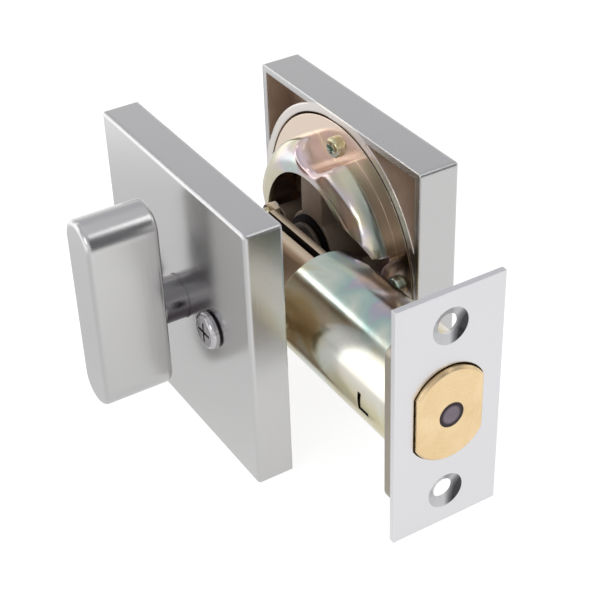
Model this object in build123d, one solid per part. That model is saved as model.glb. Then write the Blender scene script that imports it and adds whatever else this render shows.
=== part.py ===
from build123d import *
import math
import os

# Deadbolt lock with square roses, in millimetres.
# X runs along the bolt, towards the door's edge. Y runs through the door, from the room (-Y) to the
# street (+Y). Z is up. Pieces are drawn about the lock axis, where the bolt's line crosses the turn's
# axis, and are moved at the end so that the origin is the centre of the faceplate's back face, its seat
# on the door's edge.

# Door and roses
BACKSET = 65.0            # lock axis to the faceplate's outer face
DOOR = 33.0               # door thickness, the gap between the two roses
ROSE = 63.5               # side of both square roses
ROSE_EDGE = 0.8           # rounding of the roses' outer edges
ROSE_FACE = 2.5           # thickness of the roses' front walls
INSIDE_DEPTH = 8.5        # depth of the room-side rose
INSIDE_RIM = 2.0          # side wall of the room-side rose
STREET_DEPTH = 9.9        # depth of the street-side rose
STREET_RIM = 1.75         # side wall of the street-side rose
RING_WALL = 2.0           # round wall inside the street-side rose
RING_GAP = 0.6            # room between the round wall and the guard's flange

# Guard plate
GUARD_SHEET = 1.2
GUARD_EDGE = 2.15         # rose's side to the guard's flange
GUARD_CUP_R = 25.2
GUARD_HEIGHT = 8.0        # flange face to the lip of the cup
GUARD_SHOULDER = 5.5      # outer radius of the rolled shoulder
GUARD_HOLE_R = 18.2
GUARD_NOTCH_ROOM = 0.5    # room between the latch case and its notch
NOTCH_MOUTH = 8.4         # half height of the notch for the latch case, at the cup's wall
NOTCH_SHOULDER = 13.0     # half height of the notch where it leaves the cup's hole
NOTCH_TAPER = 0.7         # lean of the notch's side where it meets the mouth
NOTCH_SINK = 6.0          # lip to the floor of the notch
DIMPLE_R = 8.9
DIMPLE_BITE = 4.7         # how far a dimple reaches in from the cup's wall
DIMPLE_EDGE = 1.6         # outer rounding of a dimple's mouth
DIMPLE_COUNT = 4
GUARD_SCREW_CIRCLE = 24.0   # radius of the circle that the guard's screws lie on
GUARD_SCREW_R = 1.3
GUARD_SCREW_HEAD_R = 2.4
GUARD_SCREW_HEAD = 1.5
GUARD_SCREW_LENGTH = 5.0
GUARD_CROSS = 3.0         # span of the cross recess in a guard screw
GUARD_POST_R = 3.2

# Thumbturn
TURN_HEIGHT = 46.5
TURN_RISE = 3.2           # neck's axis to the middle of the slab's height
TURN_THICKNESS = 11.3
TURN_LENGTH = 16.4        # base of the slab to its end face
TURN_GAP = 5.6            # rose face to the base of the slab
TURN_EDGE = 1.2
NECK_R = 5.0
NECK_PAST_RIM = 0.7       # how far the neck reaches past the rose's rim
BEARING_WALL = 3.0        # wall of the rose's bearing boss
BEARING_SINK = 2.0        # rim plane to the end of the bearing boss
CLIP_SHEET = 0.8
CLIP_R = 7.1
CLIP_GROOVE = 0.9         # depth of the groove that the clip sits in
WASHER_SHEET = 0.5
SEAT = 0.1                # axial room between stacked flat pieces
RUN = 0.05                # radial room of a turning fit

# Mounting screws
SCREW_PITCH = 30.0        # between the two mounting screws
SCREW_R = 2.0
SCREW_HEAD_R = 4.2
SCREW_HEAD = 2.2
SCREW_CROSS = 5.0         # span of the cross recess in a mounting screw
CROSS_WIDTH = 0.9
CROSS_DEPTH = 1.1
SCREW_REACH = 8.0         # length of thread inside a post
SCREW_ROOM = 0.6          # radial room round the shank
SCREW_BOSS_R = 5.0
THREAD_ROOM = 0.05

# Cylinder
FLANGE_R = 20.0
FLANGE = 2.4
FLANGE_BEVEL = 1.0
SPIGOT_R = 18.2
SPIGOT_WALL = 1.6
SPIGOT = 1.8
SPIGOT_ROOM = 0.3
POST_R = 3.0
POST_SETBACK = 6.5        # rim plane to the end of a post
BARREL_R = 8.8
BARREL_END = 9.6          # lock's middle plane to the barrel's end
CHAMBER_WALL = 3.0        # wall of the pin chamber's rib on each side
CHAMBER_TOP = 17.0
COVER_SHEET = 0.8
PLUG_R = 6.35
PLUG_HEAD_R = 7.3
PLUG_HEAD = 1.6
PLUG_END = 7.6            # lock's middle plane to the plug's end
PLUG_CLIP_R = 8.0
PLUG_GROOVE = 0.9
PIN_R = 1.2
PIN_PITCH = 3.0
PIN_FIRST = 23.4          # lock's middle plane to the pin nearest the street
PIN_ROOM = 0.3            # room below the longest key pin in its hole
KEY_PIN_LENGTHS = (4.4, 3.6, 4.8, 3.4, 4.0)
DRIVER_LENGTH = 4.4
SPRING_WIRE = 0.35
SPRING_TURNS = 5
KEYWAY_WIDTH = 1.5
KEYWAY_STEP = 0.9         # sideways step of the keyway's middle ward
KEYWAY_TOP = 3.4
KEYWAY_BOTTOM = 5.4
KEYWAY_END = 10.2         # lock's middle plane to the keyway's end

# Tailpiece and its lost-motion drive
BLADE_HEIGHT = 5.2
BLADE_SHEET = 1.6
BLADE_ROOM = 0.1
BLADE_SEAT = 0.3          # room at the blade's end in the neck
CAM_R = 5.3
CAM_SHEET = 0.7
LUG_INNER_R = 3.0
LUG_SPAN = 40.0           # angle that each driving lug covers
LUG_LEAD = 135.0          # angle from the plug's lug to the tailpiece's lug at rest
LUG_ROOM = 0.4

# Latch case
CASE_R = 12.5
CASE_WALL = 1.0
CASE_BACK = 20.0          # lock axis to the back of the tube
TAIL_END = 10.0           # lock axis to the free end of the tail
TAIL_HEIGHT = 21.2
TAIL_GAP = 5.0
TAIL_SHEET = 1.2
TAIL_CORNER = 4.0         # rounding of the tail's free end
TAIL_SLOT = 1.7           # slot between the lips folded over the tail's top
TAIL_BEND = 2.3           # outer radius of the fold
TAIL_LIP_END = 4.0        # lock axis to the free end of the lips
SLIT_WIDTH = 1.2
SLIT_RISE = 4.4
SLIT_RUN = 3.8
SLIT_FROM_FACE = 13.3     # faceplate's outer face to the slit's upright leg
SLIT_TOP = 1.8
TAIL_RIVET_R = 1.3
TAIL_RIVET_HEAD_R = 2.0
TAIL_RIVET_HEAD = 0.8
TAIL_RIVET_AT = (-6.8, 8.4)

# Bolt
BOLT_WIDTH = 15.9
BOLT_HEIGHT = 22.2
BOLT_CAP_R = 9.0
BOLT_LENGTH = 38.0
BOLT_PROUD = 1.2
BOLT_EDGE = 0.5
BOLT_THROW = 25.4
BOLT_ROOM = 0.3           # room round the bolt in the plates
BOLT_PIN_R = 2.9
BOLT_PIN_LENGTH = 24.0

# Link and drive hub
LINK_SHEET = 1.0
LINK_HEIGHT = 3.4
LINK_TOP = 6.8            # lock axis down to the link's upper edge
LINK_ROOM = 0.2           # room beside the link's plates
LINK_LUG = 8.6            # width of the slotted end
LINK_LUG_WALL = 2.0
LINK_TONGUE = 8.0         # length of the tongue inside the bolt
LINK_TONGUE_RISE = 7.2
LINK_SHANK = 4.0          # length of the tongue behind the bolt
LINK_RIVET_R = 1.5
HUB_R = 6.2
HUB_CORNER = 7.0          # reach of the detent's corner
JOURNAL_R = 5.0
JOURNAL_PROUD = 0.8       # how far a journal stands out of its tail plate
ARM_WIDTH = 5.0
CRANK_PIN_R = 1.6
CRANK_ANGLE = 45.0        # arm's lean from straight down, at either end of its swing
SLOT_ROOM = 0.7           # room beside the crank pin for its swing
SPRING_SHEET = 0.5
SPRING_WIDTH = 3.6
SPRING_LIFT = 0.3         # room over the hub's flat

# Faceplate
FACE_WIDTH = 25.4
FACE_HEIGHT = 57.15
FACE_SHEET = 1.3
BACK_SHEET = 2.0
BACK_HEIGHT = 39.0
BACK_CORNER = 3.0
FACE_SPACING = 41.3
FACE_HOLE_R = 2.3
FACE_SINK_R = 4.1
FACE_LAND = 0.4           # plain wall left under a countersink
FACE_NOTCH_ROOM = 0.4

# Places worked out from the sizes above
RIM = DOOR / 2
GUARD_FLANGE_R = ROSE / 2 - GUARD_EDGE
INSIDE_FACE = -RIM - INSIDE_DEPTH
STREET_FACE = RIM + STREET_DEPTH
TURN_BASE = INSIDE_FACE - TURN_GAP
TURN_FACE = TURN_BASE - TURN_LENGTH
NECK_END = -RIM + NECK_PAST_RIM
BEARING_END = -RIM - BEARING_SINK
GUARD_LIP = RIM - GUARD_HEIGHT
GUARD_BACK = RIM + GUARD_SHEET
RING_R = GUARD_FLANGE_R + RING_GAP
DIMPLE_CIRCLE = GUARD_CUP_R - DIMPLE_BITE + DIMPLE_R
SCREW_X = SCREW_PITCH / 2
POST_END = RIM - POST_SETBACK
TAIL_INNER = TAIL_GAP / 2
TAIL_OUTER = TAIL_INNER + TAIL_SHEET
JOURNAL_END = TAIL_OUTER + JOURNAL_PROUD
CAM_FACE = JOURNAL_END + LUG_ROOM
CASE_FRONT = BACKSET - FACE_SHEET - BACK_SHEET
BOLT_FRONT = BACKSET + BOLT_PROUD
BOLT_BACK = BOLT_FRONT - BOLT_LENGTH
CRANK_R = BOLT_THROW / (2 * math.sin(math.radians(CRANK_ANGLE)))
CRANK_LOW = CRANK_R * math.cos(math.radians(CRANK_ANGLE))
CRANK_BACK = -BOLT_THROW / 2
LINK_OUTER = TAIL_INNER - LINK_ROOM
LINK_INNER = LINK_OUTER - LINK_SHEET
ARM_HALF = LINK_INNER - LINK_ROOM
OVERCUT = 1.0             # how far a cutting solid runs past the face it opens


def rod_x(radius, x0, x1, y=0.0, z=0.0):
    """Cylinder along X between two stations."""
    return Pos((x0 + x1) / 2, y, z) * Rot(0, 90, 0) * Cylinder(radius, abs(x1 - x0))


def rod_y(radius, y0, y1, x=0.0, z=0.0):
    """Cylinder along Y between two stations."""
    return Pos(x, (y0 + y1) / 2, z) * Rot(90, 0, 0) * Cylinder(radius, abs(y1 - y0))


def rod_z(radius, z0, z1, x=0.0, y=0.0):
    """Cylinder along Z between two stations."""
    return Pos(x, y, (z0 + z1) / 2) * Cylinder(radius, abs(z1 - z0))


def block(x, y, z):
    """Box between two stations on each axis."""
    middle = Pos((x[0] + x[1]) / 2, (y[0] + y[1]) / 2, (z[0] + z[1]) / 2)
    return middle * Box(abs(x[1] - x[0]), abs(y[1] - y[0]), abs(z[1] - z[0]))


def across(sketch, y0, y1):
    """Prism of a sketch drawn in X and Z, between two stations along Y."""
    low, high = min(y0, y1), max(y0, y1)
    return extrude(Plane.XZ.offset(-high) * sketch, high - low)


def along(sketch, x0, x1):
    """Prism of a sketch drawn in Y and Z, between two stations along X."""
    low, high = min(x0, x1), max(x0, x1)
    return extrude(Plane.YZ.offset(low) * sketch, high - low)


def ring_y(outer, inner, y0, y1):
    """Flat ring about the Y axis."""
    return rod_y(outer, y0, y1) - rod_y(inner, y0, y1)


def sector_y(outer, inner, middle, span, y0, y1):
    """Part of a flat ring about Y, centred on an angle from +X towards +Z."""
    reach = 2 * outer
    half = math.radians(span / 2)
    wedge = make_face(Polyline(
        (0, 0), (reach * math.cos(half), -reach * math.sin(half)),
        (reach * math.cos(half), reach * math.sin(half)), close=True))
    return ring_y(outer, inner, y0, y1) & across(Rot(0, 0, middle) * wedge, y0, y1)


def spots(count, radius):
    """X and Z of points spaced evenly on a circle."""
    for i in range(count):
        angle = 2 * math.pi * i / count
        yield radius * math.cos(angle), radius * math.sin(angle)


def cross_recess(top, span, x, z=0.0):
    """Cutter for a cross recess in a screw head whose top faces the room."""
    depth = (top - OVERCUT, top + CROSS_DEPTH)
    half = CROSS_WIDTH / 2
    upright = block((x - half, x + half), depth, (z - span / 2, z + span / 2))
    return upright + block((x - span / 2, x + span / 2), depth, (z - half, z + half))


def rose_block(rim, face):
    """Square block of a rose, with its outer edges rounded off."""
    solid = block((-ROSE / 2, ROSE / 2), (rim, face), (-ROSE / 2, ROSE / 2))
    end = Axis.Y if face > rim else -Axis.Y
    rounded = solid.edges().filter_by(Axis.Y) + solid.faces().sort_by(end)[-1].edges()
    return fillet(rounded, ROSE_EDGE)


def interior_rose():
    """Room-side cover: square shell with a bearing for the turn and two screw bosses."""
    floor = INSIDE_FACE + ROSE_FACE
    half = ROSE / 2 - INSIDE_RIM
    shell = rose_block(-RIM, INSIDE_FACE) - block((-half, half), (-RIM, floor), (-half, half))
    shell += rod_y(NECK_R + BEARING_WALL, floor, BEARING_END)
    for x in (-SCREW_X, SCREW_X):
        shell += rod_y(SCREW_BOSS_R, floor, -RIM, x)
    for x in (-SCREW_X, SCREW_X):
        shell -= rod_y(SCREW_R + SCREW_ROOM, INSIDE_FACE - OVERCUT, -RIM + OVERCUT, x)
    return shell - rod_y(NECK_R + RUN, INSIDE_FACE - OVERCUT, BEARING_END + OVERCUT)


def thumbturn():
    """Round-ended slab on a neck, with a clip groove and a socket for the blade."""
    outline = Pos(0, TURN_RISE) * SlotOverall(TURN_HEIGHT, TURN_THICKNESS, rotation=90)
    slab = across(outline, TURN_BASE, TURN_FACE)
    ends = slab.edges().group_by(Axis.Y)
    slab = fillet(ends[0] + ends[-1], TURN_EDGE)
    turn = slab + rod_y(NECK_R, TURN_BASE, NECK_END)
    groove = BEARING_END + WASHER_SHEET + 2 * SEAT
    turn -= ring_y(NECK_R + OVERCUT, NECK_R - CLIP_GROOVE, groove - SEAT, groove + CLIP_SHEET + SEAT)
    socket = blade_block(INSIDE_FACE - BLADE_SEAT, NECK_END + OVERCUT, BLADE_ROOM)
    return turn - socket


def turn_washer():
    """Flat spring washer between the bearing boss and the clip."""
    start = BEARING_END + SEAT
    return ring_y(CLIP_R, NECK_R + RUN, start, start + WASHER_SHEET)


def open_ring(outer, inner, y0, y1):
    """Snap ring with a mouth that faces down."""
    mouth = block((-inner / 2, inner / 2), (y0 - OVERCUT, y1 + OVERCUT), (-outer - OVERCUT, 0))
    return ring_y(outer, inner, y0, y1) - mouth


def turn_clip():
    """Snap ring that keeps the neck in its bearing."""
    start = BEARING_END + WASHER_SHEET + 2 * SEAT
    return open_ring(CLIP_R, NECK_R - CLIP_GROOVE + RUN, start, start + CLIP_SHEET)


def mounting_screws():
    """Two long pan-head screws through the door."""
    screws = []
    for x in (-SCREW_X, SCREW_X):
        head = rod_y(SCREW_HEAD_R, INSIDE_FACE, INSIDE_FACE - SCREW_HEAD, x)
        head = fillet(head.faces().sort_by(Axis.Y)[0].edges(), SCREW_HEAD / 2)
        head -= cross_recess(INSIDE_FACE - SCREW_HEAD, SCREW_CROSS, x)
        screws.append(head + rod_y(SCREW_R, INSIDE_FACE, POST_END + SCREW_REACH, x))
    return Compound(children=screws)


def exterior_rose():
    """Street-side shell: thin rim, round inner wall, posts for the guard and the cylinder's hole."""
    floor = STREET_FACE - ROSE_FACE
    half = ROSE / 2 - STREET_RIM
    body = rose_block(RIM, STREET_FACE)
    hollow = block((-half, half), (RIM, floor), (-half, half))
    shell = body - hollow + (ring_y(RING_R + RING_WALL, RING_R, RIM, floor) & hollow)
    for x, z in spots(DIMPLE_COUNT, GUARD_SCREW_CIRCLE):
        shell += rod_y(GUARD_POST_R, GUARD_BACK, floor, x, z)
        shell -= rod_y(GUARD_SCREW_R + THREAD_ROOM, GUARD_BACK - OVERCUT, RIM + GUARD_SCREW_LENGTH, x, z)
    return shell - rod_y(SPIGOT_R + SPIGOT_ROOM, floor - OVERCUT, STREET_FACE + OVERCUT)


def cup_form(inset):
    """Solid form of the guard's cup, drawn in by the sheet's thickness for its inside."""
    radius = GUARD_CUP_R - inset
    bend = GUARD_SHOULDER - inset
    lip = GUARD_LIP + inset
    wall = Line((radius, GUARD_BACK), (radius, lip + bend))
    shoulder = JernArc(wall @ 1, (0, -1), bend, -90)
    top = Line(shoulder @ 1, (0, lip))
    axis = Line(top @ 1, (0, GUARD_BACK))
    base = Line(axis @ 1, wall @ 0)
    plain = revolve(make_face([wall, shoulder, top, axis, base]), axis=Axis.Y)
    dimples = [rod_y(DIMPLE_R + inset, GUARD_LIP - OVERCUT, GUARD_BACK, x, z)
               for x, z in spots(DIMPLE_COUNT, DIMPLE_CIRCLE)]
    form = plain - dimples
    return fillet(new_edges(plain, *dimples, combined=form), DIMPLE_EDGE - inset)


def notch_outline():
    """Opening for the latch case in the guard's cup, drawn in X and Z: a throat that narrows outwards."""
    start = math.sqrt(GUARD_HOLE_R ** 2 - NOTCH_SHOULDER ** 2)
    neck = math.sqrt(GUARD_CUP_R ** 2 - NOTCH_MOUTH ** 2) - GUARD_SHEET
    upper = TangentArc((neck, NOTCH_MOUTH), (start, NOTCH_SHOULDER), tangent=(-NOTCH_TAPER, 1))
    mouth = Polyline((neck, NOTCH_MOUTH), (GUARD_FLANGE_R, NOTCH_MOUTH), (GUARD_FLANGE_R, 0), (0, 0),
                     (start, NOTCH_SHOULDER))
    half = make_face([upper, mouth])
    return half + mirror(half, about=Plane.XZ)


def guard_plate():
    """Drawn steel cup on a flange, dimpled for its screws and notched for the latch case."""
    plate = rod_y(GUARD_FLANGE_R, RIM, GUARD_BACK) + cup_form(0.0)
    plate -= cup_form(GUARD_SHEET)
    plate -= rod_y(GUARD_HOLE_R, GUARD_LIP - OVERCUT, GUARD_BACK + OVERCUT)
    plate -= across(notch_outline(), GUARD_LIP - OVERCUT, GUARD_LIP + NOTCH_SINK)
    plate -= rod_x(CASE_R + GUARD_NOTCH_ROOM, 0, GUARD_FLANGE_R)
    for x, z in spots(DIMPLE_COUNT, GUARD_SCREW_CIRCLE):
        plate -= rod_y(GUARD_SCREW_R + THREAD_ROOM, RIM - OVERCUT, GUARD_BACK + OVERCUT, x, z)
    return plate


def guard_screws():
    """Short screws that hold the guard plate to the rose's posts."""
    screws = []
    for x, z in spots(DIMPLE_COUNT, GUARD_SCREW_CIRCLE):
        head = rod_y(GUARD_SCREW_HEAD_R, RIM, RIM - GUARD_SCREW_HEAD, x, z)
        head = fillet(head.faces().sort_by(Axis.Y)[0].edges(), GUARD_SCREW_HEAD / 2)
        head -= cross_recess(RIM - GUARD_SCREW_HEAD, GUARD_CROSS, x, z)
        screws.append(head + rod_y(GUARD_SCREW_R, RIM, RIM + GUARD_SCREW_LENGTH, x, z))
    return Compound(children=screws)


def pin_stations():
    """Y of each pin chamber, from the street inwards."""
    return [PIN_FIRST - i * PIN_PITCH for i in range(len(KEY_PIN_LENGTHS))]


def cylinder_housing():
    """Flanged casting with the plug's barrel, the pin chambers and two threaded posts."""
    front = STREET_FACE + FLANGE
    rib = PIN_R + CHAMBER_WALL
    flange = rod_y(FLANGE_R, STREET_FACE, front)
    housing = chamfer(flange.faces().sort_by(Axis.Y)[-1].edges(), FLANGE_BEVEL)
    housing += ring_y(SPIGOT_R, SPIGOT_R - SPIGOT_WALL, STREET_FACE - SPIGOT, STREET_FACE)
    housing += rod_y(BARREL_R, BARREL_END, STREET_FACE)
    housing += block((-rib, rib), (BARREL_END, STREET_FACE), (0, CHAMBER_TOP))
    for x in (-SCREW_X, SCREW_X):
        housing += rod_y(POST_R, POST_END, STREET_FACE, x)
        housing -= rod_y(SCREW_R + THREAD_ROOM, POST_END - OVERCUT, STREET_FACE - OVERCUT, x)
    housing -= rod_y(PLUG_R + RUN, BARREL_END - OVERCUT, front + OVERCUT)
    housing -= rod_y(PLUG_HEAD_R + RUN, front - PLUG_HEAD, front + OVERCUT)
    for y in pin_stations():
        housing -= rod_z(PIN_R + RUN, PLUG_R / 2, CHAMBER_TOP, 0, y)
    first, last = pin_stations()[0] + PIN_R, pin_stations()[-1] - PIN_R
    seat = PIN_R + RUN
    return housing - block((-seat, seat), (last, first), (CHAMBER_TOP - COVER_SHEET, CHAMBER_TOP))


def chamber_cover():
    """Strip that closes the tops of the pin chambers."""
    first, last = pin_stations()[0] + PIN_R - RUN, pin_stations()[-1] - PIN_R + RUN
    return block((-PIN_R, PIN_R), (last, first), (CHAMBER_TOP - COVER_SHEET, CHAMBER_TOP))


def keyway():
    """Warded slot for the key, drawn in X and Z."""
    height = KEYWAY_TOP + KEYWAY_BOTTOM
    third = height / 3
    wards = Pos(0, -KEYWAY_BOTTOM + height / 2) * Rectangle(KEYWAY_WIDTH, height)
    return wards + Pos(KEYWAY_STEP, -KEYWAY_BOTTOM + height / 2) * Rectangle(KEYWAY_WIDTH, third)


def cylinder_plug():
    """Plug with a head, a keyway, pin holes, a clip groove and a driving lug."""
    front = STREET_FACE + FLANGE
    plug = rod_y(PLUG_R, PLUG_END, front) + rod_y(PLUG_HEAD_R, front - PLUG_HEAD + RUN, front)
    plug -= across(keyway(), KEYWAY_END, front + OVERCUT)
    groove = BARREL_END - SEAT
    plug -= ring_y(PLUG_R + OVERCUT, PLUG_R - PLUG_GROOVE, groove - CLIP_SHEET - SEAT, groove + SEAT)
    for y in pin_stations():
        plug -= rod_z(PIN_R + RUN, shear_height() - max(KEY_PIN_LENGTHS) - PIN_ROOM, PLUG_R + OVERCUT, 0, y)
    lug_end = CAM_FACE + CAM_SHEET + LUG_ROOM
    return plug + sector_y(CAM_R, LUG_INNER_R, 0.0, LUG_SPAN, lug_end, PLUG_END)


def plug_clip():
    """Snap ring that keeps the plug in its barrel."""
    start = BARREL_END - SEAT
    return open_ring(PLUG_CLIP_R, PLUG_R - PLUG_GROOVE + RUN, start - CLIP_SHEET, start)


def shear_height():
    """Z of a key pin's top where its rim is level with the plug."""
    return math.sqrt(PLUG_R ** 2 - PIN_R ** 2)


def key_pins():
    """Lower pins, as the right key holds them, level with the plug."""
    shear = shear_height()
    return Compound(children=[rod_z(PIN_R, shear - length, shear, 0, y)
                              for y, length in zip(pin_stations(), KEY_PIN_LENGTHS)])


def driver_pins():
    """Upper pins, just clear of the plug."""
    start = PLUG_R + RUN
    return Compound(children=[rod_z(PIN_R, start, start + DRIVER_LENGTH, 0, y) for y in pin_stations()])


def pin_springs():
    """Coil springs between the upper pins and the chamber cover."""
    low = PLUG_R + RUN + DRIVER_LENGTH + SPRING_WIRE / 2
    high = CHAMBER_TOP - COVER_SHEET - SPRING_WIRE / 2
    radius = PIN_R - SPRING_WIRE / 2
    path = Helix((high - low) / SPRING_TURNS, high - low, radius)
    coil = sweep(Plane(path @ 0, z_dir=path % 0) * Circle(SPRING_WIRE / 2), path, is_frenet=True)
    return Compound(children=[Pos(0, y, low) * coil for y in pin_stations()])


def blade_block(y0, y1, room=0.0):
    """Flat blade that stands upright at rest."""
    half_sheet = BLADE_SHEET / 2 + room
    half_height = BLADE_HEIGHT / 2 + room
    return block((-half_sheet, half_sheet), (y0, y1), (-half_height, half_height))


def tailpiece():
    """Blade from the thumbturn through the hub, with a cam disc and a driving lug."""
    lug_end = PLUG_END - LUG_ROOM
    tail = blade_block(INSIDE_FACE, CAM_FACE) + rod_y(CAM_R, CAM_FACE, CAM_FACE + CAM_SHEET)
    return tail + sector_y(CAM_R, LUG_INNER_R, LUG_LEAD, LUG_SPAN, CAM_FACE, lug_end)


def drive_hub():
    """Hub that turns in the tail plates, with a crank arm, a cross pin and two detent flats."""
    hub = rod_y(HUB_CORNER, -ARM_HALF, ARM_HALF) & block(
        (-HUB_R, HUB_R), (-ARM_HALF, ARM_HALF), (-HUB_R, HUB_R))
    arm = Pos(0, -CRANK_R / 2) * SlotOverall(CRANK_R + ARM_WIDTH, ARM_WIDTH, rotation=90)
    hub += across(Rot(0, 0, -CRANK_ANGLE) * arm, -ARM_HALF, ARM_HALF)
    hub += rod_y(JOURNAL_R, -JOURNAL_END, JOURNAL_END)
    hub += rod_y(CRANK_PIN_R, -LINK_OUTER, LINK_OUTER, CRANK_BACK, -CRANK_LOW)
    return hub - blade_block(-JOURNAL_END - OVERCUT, JOURNAL_END + OVERCUT, BLADE_ROOM)


def bolt_link():
    """Two slotted plates on a tongue, which carry the crank's swing to the bolt."""
    low = -LINK_TOP - LINK_HEIGHT
    slot_half = CRANK_PIN_R + SLOT_ROOM
    slot_top = -CRANK_LOW + CRANK_PIN_R + SLOT_ROOM
    slot_low = -CRANK_R - CRANK_PIN_R - SLOT_ROOM
    tongue_end = BOLT_BACK + LINK_TONGUE
    tongue_start = BOLT_BACK - LINK_SHANK
    back = CRANK_BACK - LINK_LUG / 2
    link = block((tongue_start, tongue_end), (-LINK_OUTER, LINK_OUTER), (low, low + LINK_TONGUE_RISE))
    for side in (-1, 1):
        plate = (side * LINK_INNER, side * LINK_OUTER)
        link += block((back, tongue_start), plate, (low, -LINK_TOP))
        link += block((back, back + LINK_LUG), plate, (slot_low - LINK_LUG_WALL, -LINK_TOP))
    link -= block((CRANK_BACK - slot_half, CRANK_BACK + slot_half),
                  (-TAIL_INNER, TAIL_INNER), (slot_low, slot_top))
    return link - rod_y(LINK_RIVET_R + RUN, -TAIL_INNER, TAIL_INNER, *link_rivet_place())


def link_rivet_place():
    """X and Z of the rivet that joins the link to the bolt."""
    return BOLT_BACK + LINK_TONGUE / 2, -LINK_TOP - LINK_HEIGHT + LINK_TONGUE_RISE / 2


def bolt_outline(room=0.0):
    """Section of the bolt in Y and Z: flat sides and domed top and bottom."""
    half = BOLT_WIDTH / 2 + room
    radius = BOLT_CAP_R + room
    middle = BOLT_HEIGHT / 2 - BOLT_CAP_R
    band = Rectangle(2 * half, BOLT_HEIGHT + 2 * room)
    caps = Rectangle(2 * radius, 2 * middle)
    for side in (-1, 1):
        caps += Pos(0, side * middle) * Circle(radius)
    return band & caps


def bolt():
    """Brass bolt with a softened front edge, a bore for its pin and a slot for the link."""
    solid = along(bolt_outline(), BOLT_BACK, BOLT_FRONT)
    solid = chamfer(solid.faces().sort_by(Axis.X)[-1].edges(), BOLT_EDGE)
    solid -= rod_x(BOLT_PIN_R, BOLT_FRONT - BOLT_PIN_LENGTH, BOLT_FRONT + OVERCUT)
    half = LINK_OUTER + LINK_ROOM
    top = -LINK_TOP - LINK_HEIGHT + LINK_TONGUE_RISE + LINK_ROOM
    solid -= block((BOLT_BACK - OVERCUT, BOLT_BACK + LINK_TONGUE + LINK_ROOM),
                   (-half, half), (-BOLT_HEIGHT, top))
    x, z = link_rivet_place()
    return solid - rod_y(LINK_RIVET_R + RUN, -BOLT_WIDTH, BOLT_WIDTH, x, z)


def link_rivet():
    """Rivet across the bolt, just short of its sides."""
    x, z = link_rivet_place()
    depth = max(0.0, -z - (BOLT_HEIGHT / 2 - BOLT_CAP_R))
    half = min(BOLT_WIDTH / 2, math.sqrt(BOLT_CAP_R ** 2 - (depth + LINK_RIVET_R) ** 2))
    return rod_y(LINK_RIVET_R, -half, half, x, z)


def bolt_pin():
    """Hardened pin pressed into the bolt's end."""
    return rod_x(BOLT_PIN_R, BOLT_FRONT - BOLT_PIN_LENGTH, BOLT_FRONT)


def tail_lip():
    """Section of the fold over one tail plate's top, on the +Y side, drawn in Y and Z."""
    top = TAIL_HEIGHT / 2
    fold = Pos((TAIL_SLOT / 2 + TAIL_OUTER) / 2, top - TAIL_BEND / 2) * Rectangle(
        TAIL_OUTER - TAIL_SLOT / 2, TAIL_BEND)
    fold = fillet(fold.vertices().sort_by_distance((TAIL_OUTER, top))[0], TAIL_BEND)
    room = Pos((TAIL_SLOT / 2 + TAIL_INNER) / 2 - OVERCUT / 2, top - TAIL_SHEET - TAIL_BEND / 2) * Rectangle(
        TAIL_INNER - TAIL_SLOT / 2 + OVERCUT, TAIL_BEND)
    return fold - fillet(room.vertices().sort_by_distance((TAIL_INNER, top))[0], TAIL_BEND - TAIL_SHEET)


def latch_case():
    """Tube with a back wall, two tail plates with lips folded over their tops, and a slit on each side."""
    inner = CASE_R - CASE_WALL
    tube = rod_x(CASE_R, CASE_BACK, CASE_FRONT)
    tube -= rod_x(inner, CASE_BACK + TAIL_SHEET, CASE_FRONT)
    tube -= block((CASE_BACK - OVERCUT, CASE_BACK + TAIL_SHEET + OVERCUT),
                  (-TAIL_INNER, TAIL_INNER), (-TAIL_HEIGHT / 2, TAIL_HEIGHT / 2 - TAIL_SHEET))
    corner = BACKSET - SLIT_FROM_FACE
    rise = (SLIT_TOP - SLIT_RISE, SLIT_TOP)
    foot = (SLIT_TOP - SLIT_RISE, SLIT_TOP - SLIT_RISE + SLIT_WIDTH)
    sides = (-CASE_R - OVERCUT, CASE_R + OVERCUT)
    tube -= block((corner, corner + SLIT_WIDTH), sides, rise)
    tube -= block((corner, corner + SLIT_RUN), sides, foot)
    lip = along(tail_lip(), -TAIL_LIP_END, CASE_BACK)
    for side in (-1, 1):
        plate = block((-TAIL_END, CASE_BACK), (side * TAIL_INNER, side * TAIL_OUTER),
                      (-TAIL_HEIGHT / 2, TAIL_HEIGHT / 2))
        plate = fillet(plate.edges().filter_by(Axis.Y).group_by(Axis.X)[0], TAIL_CORNER)
        plate -= block((-TAIL_LIP_END, CASE_BACK), (side * TAIL_INNER, side * TAIL_OUTER),
                       (TAIL_HEIGHT / 2 - TAIL_BEND, TAIL_HEIGHT / 2))
        plate += lip if side > 0 else mirror(lip, about=Plane.XZ)
        plate -= rod_y(JOURNAL_R + RUN, side * (TAIL_INNER - OVERCUT), side * (TAIL_OUTER + OVERCUT))
        plate -= rod_y(SCREW_R + SCREW_ROOM, side * (TAIL_INNER - OVERCUT),
                       side * (TAIL_OUTER + OVERCUT), SCREW_X)
        plate -= rod_y(TAIL_RIVET_R + RUN, side * (TAIL_INNER - OVERCUT),
                       side * (TAIL_OUTER + OVERCUT), *TAIL_RIVET_AT)
        tube += plate
    return tube


def tail_rivet():
    """Rivet that holds the tail plates apart at their free end."""
    x, z = TAIL_RIVET_AT
    rivet = rod_y(TAIL_RIVET_R, -TAIL_OUTER, TAIL_OUTER, x, z)
    for side in (-1, 1):
        rivet += rod_y(TAIL_RIVET_HEAD_R, side * TAIL_OUTER, side * (TAIL_OUTER + TAIL_RIVET_HEAD), x, z)
    return rivet


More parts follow.
